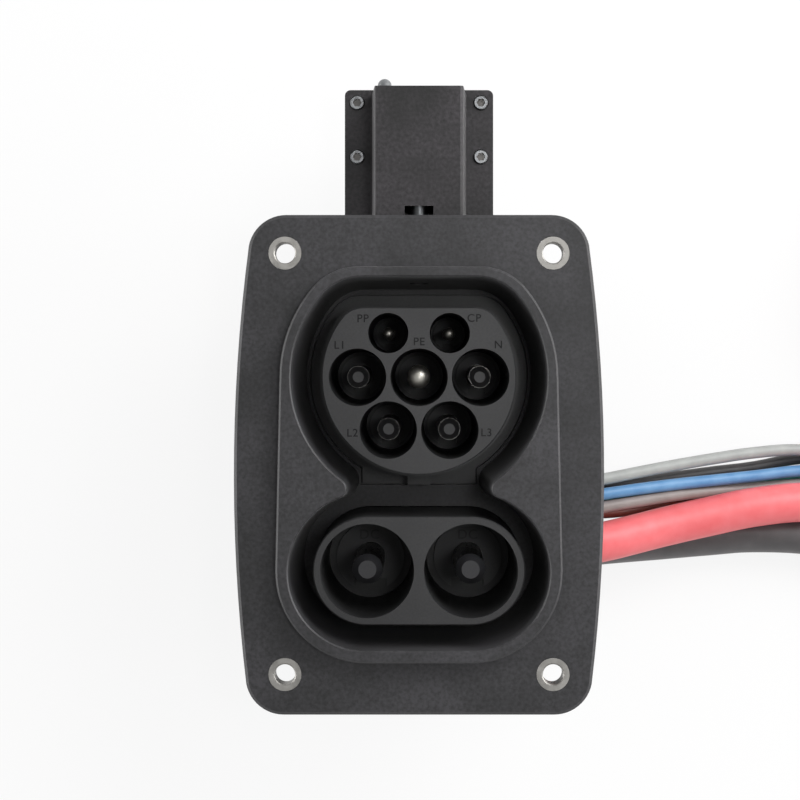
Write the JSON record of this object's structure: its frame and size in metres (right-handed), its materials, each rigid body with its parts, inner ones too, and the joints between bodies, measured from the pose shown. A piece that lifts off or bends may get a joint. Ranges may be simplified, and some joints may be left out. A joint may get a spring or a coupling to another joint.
{
  "type": "charge port inlet",
  "caption": "Combined AC and DC vehicle charging inlet with flanged housing, deep contact wells, a motor-driven lock pin and pigtail cables.",
  "frame": {"origin": "centre of the four flange holes on the flange's rear face", "axes": "+Z out of the socket, +Y towards the lock actuator, +X to the side where the cables leave"},
  "size_m": [0.328, 0.1892, 0.082],
  "materials": {
    "housing": "fine matte grain",
    "core": "fine matte grain",
    "carrier": "matte",
    "cap": "satin",
    "steel": "zinc plated",
    "silver_plate": "silver plated",
    "copper_alloy": "machined, silver plated tip",
    "seal": "matte",
    "red_seal": "matte",
    "gear": "satin",
    "brass": "machined",
    "knob": "satin",
    "sensor": "satin",
    "red_jacket": "satin",
    "black_jacket": "satin",
    "brown_jacket": "satin",
    "grey_jacket": "satin",
    "blue_jacket": "satin",
    "green_jacket": "satin"
  },
  "bodies": {
    "inlet": {"front_housing": "housing", "mounting_sleeves": "steel", "ac_core": "core", "dc_core": "core", "l1_contact": "silver_plate", "l2_contact": "silver_plate", "l3_contact": "silver_plate", "n_contact": "silver_plate", "pe_contact": "silver_plate", "pp_contact": "silver_plate", "cp_contact": "silver_plate", "dc_positive_contact": "copper_alloy", "dc_negative_contact": "copper_alloy", "ac_pin_caps": "cap", "dc_pin_caps": "cap", "contact_seals": "red_seal", "dc_contact_seals": "red_seal", "contact_carrier": "carrier", "rear_seal": "seal", "temp_sensors": "sensor", "rear_cover": "housing", "cover_screws": "steel", "cable_seal": "seal", "seal_clamp": "housing", "clamp_screws": "steel", "actuator_base": "housing", "base_screws": "steel", "actuator_cover": "core", "actuator_screws": "steel", "motor": "steel", "limit_switch": "cap", "gear_axle": "steel", "pin_seal": "seal", "dc_positive_cable": "red_jacket", "dc_negative_cable": "black_jacket", "l1_wire": "brown_jacket", "l2_wire": "black_jacket", "l3_wire": "grey_jacket", "n_wire": "blue_jacket", "pe_wire": "green_jacket", "signal_lead": "grey_jacket", "loom_coil": "black_jacket"},
    "lock": {"lock_pin": "steel", "lock_slider": "gear", "release_knob": "knob"},
    "drive_gear": {"drive_gear": "gear"},
    "motor_rotor": {"motor_pinion": "brass"}
  },
  "joints": [
    {"name": "lock_slide", "type": "slide", "parent": "inlet", "child": "lock", "axis": [0, -1, 0], "range_m": [0, 0.005]},
    {"name": "drive_gear_spin", "type": "hinge", "parent": "inlet", "child": "drive_gear", "pos_m": [0.0015, 0.081, -0.012], "axis": [0, 0, 1], "range_deg": [0, 59.68]},
    {"name": "motor_spin", "type": "hinge", "parent": "inlet", "child": "motor_rotor", "pos_m": [0, 0.09291, -0.014], "axis": [0, 0, 1], "range_deg": [-179.05, 0]}
  ],
  "couplings": [
    {"joint": "drive_gear_spin", "follows": "lock_slide", "rad_per_m": 208.33},
    {"joint": "motor_spin", "follows": "lock_slide", "rad_per_m": -625}
  ]
}
